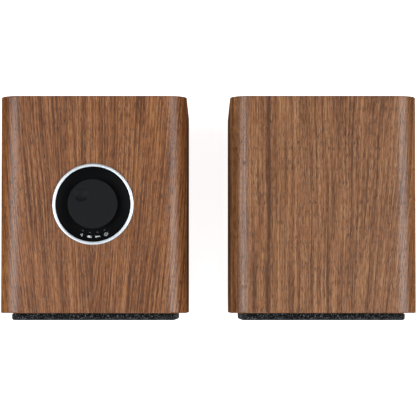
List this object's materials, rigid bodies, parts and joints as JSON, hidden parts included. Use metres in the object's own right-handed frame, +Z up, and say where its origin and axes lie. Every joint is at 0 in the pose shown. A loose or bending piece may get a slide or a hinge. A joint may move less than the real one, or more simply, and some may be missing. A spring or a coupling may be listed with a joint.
{
  "type": "desktop speakers",
  "caption": "Pair of wood-cabinet desktop speakers: an active one with a press-and-turn volume dial in its top, and a passive one, both with magnetic cloth grilles.",
  "frame": {"origin": "on the table, under the middle of the pair's bounding box", "axes": "+Z up, the fabric grilles face -Y, +X towards the passive speaker, which stands to the right of the one with the dial"},
  "size_m": [0.288, 0.162, 0.182],
  "materials": {
    "walnut": "oiled walnut veneer with the grain from front to back",
    "baffle_board": "fibreboard stained black",
    "panel_board": "fine black texture",
    "grille_fabric": "black melange weave with grey flecks",
    "grille_steel": "black powder coat",
    "magnet": "nickel plate",
    "basket": "satin black",
    "ferrite": "dark grey ceramic and zinc-plated steel",
    "cone_paper": "pressed paper pulp",
    "surround_rubber": "matt",
    "spider_cloth": "varnished cotton",
    "tweeter_plastic": "fine grain",
    "dome_silk": "coated silk",
    "port_plastic": "satin black",
    "foot_rubber": "matt",
    "screw_steel": "black oxide",
    "wadding": "polyester fleece",
    "wire_sleeve": "soft vinyl",
    "terminal_plastic": "moulded black",
    "clip_red": "moulded red",
    "clip_black": "moulded black",
    "circuit_board": "green solder resist",
    "ring_aluminium": "spun, satin anodised",
    "dish_plastic": "satin black",
    "lens": "milky light pipe",
    "knob_soft": "soft-touch paint",
    "shaft_steel": "ground",
    "plunger_plastic": "natural nylon",
    "amp_plate": "black anodised",
    "gold_plate": "gold plate",
    "socket_plastic": "moulded black",
    "post_metal": "nickel plate",
    "rocker_plastic": "moulded black"
  },
  "bodies": {
    "left_speaker": {"left_cabinet": "walnut", "left_front_baffle": "baffle_board", "left_back_panel": "panel_board", "left_grille_magnets": "magnet", "left_woofer_frame": "basket", "left_woofer_motor": "ferrite", "left_woofer_surround": "surround_rubber", "left_woofer_spider": "spider_cloth", "left_tweeter_plate": "tweeter_plastic", "left_tweeter_motor": "ferrite", "left_port_tube": "port_plastic", "left_feet": "foot_rubber", "left_screws": "screw_steel", "left_wadding": "wadding", "left_speaker_wires": "wire_sleeve", "left_terminal_block": "terminal_plastic", "dial_ring": "ring_aluminium", "dial_dish": "dish_plastic", "dial_lenses": "lens", "dial_encoder": "circuit_board", "amp_plate": "amp_plate", "amp_board": "circuit_board", "rca_sockets": "gold_plate", "panel_sockets": "socket_plastic", "ground_post": "post_metal"},
    "right_speaker": {"right_cabinet": "walnut", "right_front_baffle": "baffle_board", "right_back_panel": "panel_board", "right_grille_magnets": "magnet", "right_woofer_frame": "basket", "right_woofer_motor": "ferrite", "right_woofer_surround": "surround_rubber", "right_woofer_spider": "spider_cloth", "right_tweeter_plate": "tweeter_plastic", "right_tweeter_motor": "ferrite", "right_port_tube": "port_plastic", "right_feet": "foot_rubber", "right_screws": "screw_steel", "right_wadding": "wadding", "right_speaker_wires": "wire_sleeve", "right_terminal_block": "terminal_plastic", "right_crossover": "circuit_board"},
    "dial_plunger": {"dial_plunger": "plunger_plastic"},
    "dial_knob": {"dial_knob": "knob_soft", "dial_shaft": "shaft_steel"},
    "ground_washer": {"ground_washer": "post_metal"},
    "ground_nut": {"ground_nut": "post_metal"},
    "power_rocker": {"power_rocker": "rocker_plastic"},
    "left_grille": {"left_grille_frame": "grille_steel", "left_grille_cloth": "grille_fabric"},
    "left_woofer_cone": {"left_woofer_cone": "cone_paper"},
    "left_tweeter_dome": {"left_tweeter_dome": "dome_silk"},
    "left_clip_red": {"left_clip_red": "clip_red"},
    "left_clip_black": {"left_clip_black": "clip_black"},
    "right_grille": {"right_grille_frame": "grille_steel", "right_grille_cloth": "grille_fabric"},
    "right_woofer_cone": {"right_woofer_cone": "cone_paper"},
    "right_tweeter_dome": {"right_tweeter_dome": "dome_silk"},
    "right_clip_red": {"right_clip_red": "clip_red"},
    "right_clip_black": {"right_clip_black": "clip_black"}
  },
  "joints": [
    {"name": "right_speaker_place", "type": "slide", "parent": "left_speaker", "child": "right_speaker", "axis": [1, 0, 0], "range_m": [-0.028, 0.5]},
    {"name": "left_grille_pull", "type": "slide", "parent": "left_speaker", "child": "left_grille", "axis": [0, -1, 0], "range_m": [0, 0.04]},
    {"name": "left_cone_travel", "type": "slide", "parent": "left_speaker", "child": "left_woofer_cone", "axis": [0, -1, 0], "range_m": [-0.003, 0.003], "stiffness_N_per_m": 1500, "deforming": ["left_woofer_surround", "left_woofer_spider"]},
    {"name": "left_dome_travel", "type": "slide", "parent": "left_speaker", "child": "left_tweeter_dome", "axis": [0, -1, 0], "range_m": [-0.0003, 0.0003], "stiffness_N_per_m": 2000},
    {"name": "left_clip_red_press", "type": "hinge", "parent": "left_speaker", "child": "left_clip_red", "pos_m": [-0.0935, 0.0701, 0.072], "axis": [-1, 0, 0], "range_deg": [0, 18], "stiffness_Nm_per_rad": 0.3, "springref_deg": -11.46},
    {"name": "left_clip_black_press", "type": "hinge", "parent": "left_speaker", "child": "left_clip_black", "pos_m": [-0.0775, 0.0701, 0.072], "axis": [-1, 0, 0], "range_deg": [0, 18], "stiffness_Nm_per_rad": 0.3, "springref_deg": -11.46},
    {"name": "right_grille_pull", "type": "slide", "parent": "right_speaker", "child": "right_grille", "axis": [0, -1, 0], "range_m": [0, 0.04]},
    {"name": "right_cone_travel", "type": "slide", "parent": "right_speaker", "child": "right_woofer_cone", "axis": [0, -1, 0], "range_m": [-0.003, 0.003], "stiffness_N_per_m": 1500, "deforming": ["right_woofer_surround", "right_woofer_spider"]},
    {"name": "right_dome_travel", "type": "slide", "parent": "right_speaker", "child": "right_tweeter_dome", "axis": [0, -1, 0], "range_m": [-0.0003, 0.0003], "stiffness_N_per_m": 2000},
    {"name": "right_clip_red_press", "type": "hinge", "parent": "right_speaker", "child": "right_clip_red", "pos_m": [0.0715, 0.0685, 0.066], "axis": [-1, 0, 0], "range_deg": [0, 18], "stiffness_Nm_per_rad": 0.3, "springref_deg": -11.46},
    {"name": "right_clip_black_press", "type": "hinge", "parent": "right_speaker", "child": "right_clip_black", "pos_m": [0.0875, 0.0685, 0.066], "axis": [-1, 0, 0], "range_deg": [0, 18], "stiffness_Nm_per_rad": 0.3, "springref_deg": -11.46},
    {"name": "dial_press", "type": "slide", "parent": "left_speaker", "child": "dial_plunger", "axis": [0, 0, -1], "range_m": [0, 0.0005], "stiffness_N_per_m": 2000, "springref_m": -0.0005},
    {"name": "dial_turn", "type": "hinge", "parent": "dial_plunger", "child": "dial_knob", "pos_m": [-0.0795, -0.001, 0.175], "axis": [0, 0, -1], "continuous": true},
    {"name": "ground_washer_lift", "type": "slide", "parent": "left_speaker", "child": "ground_washer", "axis": [0, 1, 0], "range_m": [0, 0.0021]},
    {"name": "ground_nut_turn", "type": "hinge", "parent": "ground_washer", "child": "ground_nut", "pos_m": [-0.1085, 0.0716, 0.09], "axis": [0, 1, 0], "range_deg": [0, 1083]},
    {"name": "power_rocker_tilt", "type": "hinge", "parent": "left_speaker", "child": "power_rocker", "pos_m": [-0.0955, 0.0686, 0.042], "axis": [0, 0, 1], "range_deg": [0, 16]}
  ],
  "couplings": [
    {"joint": "ground_nut_turn", "follows": "ground_washer_lift", "rad_per_m": 8976}
  ]
}
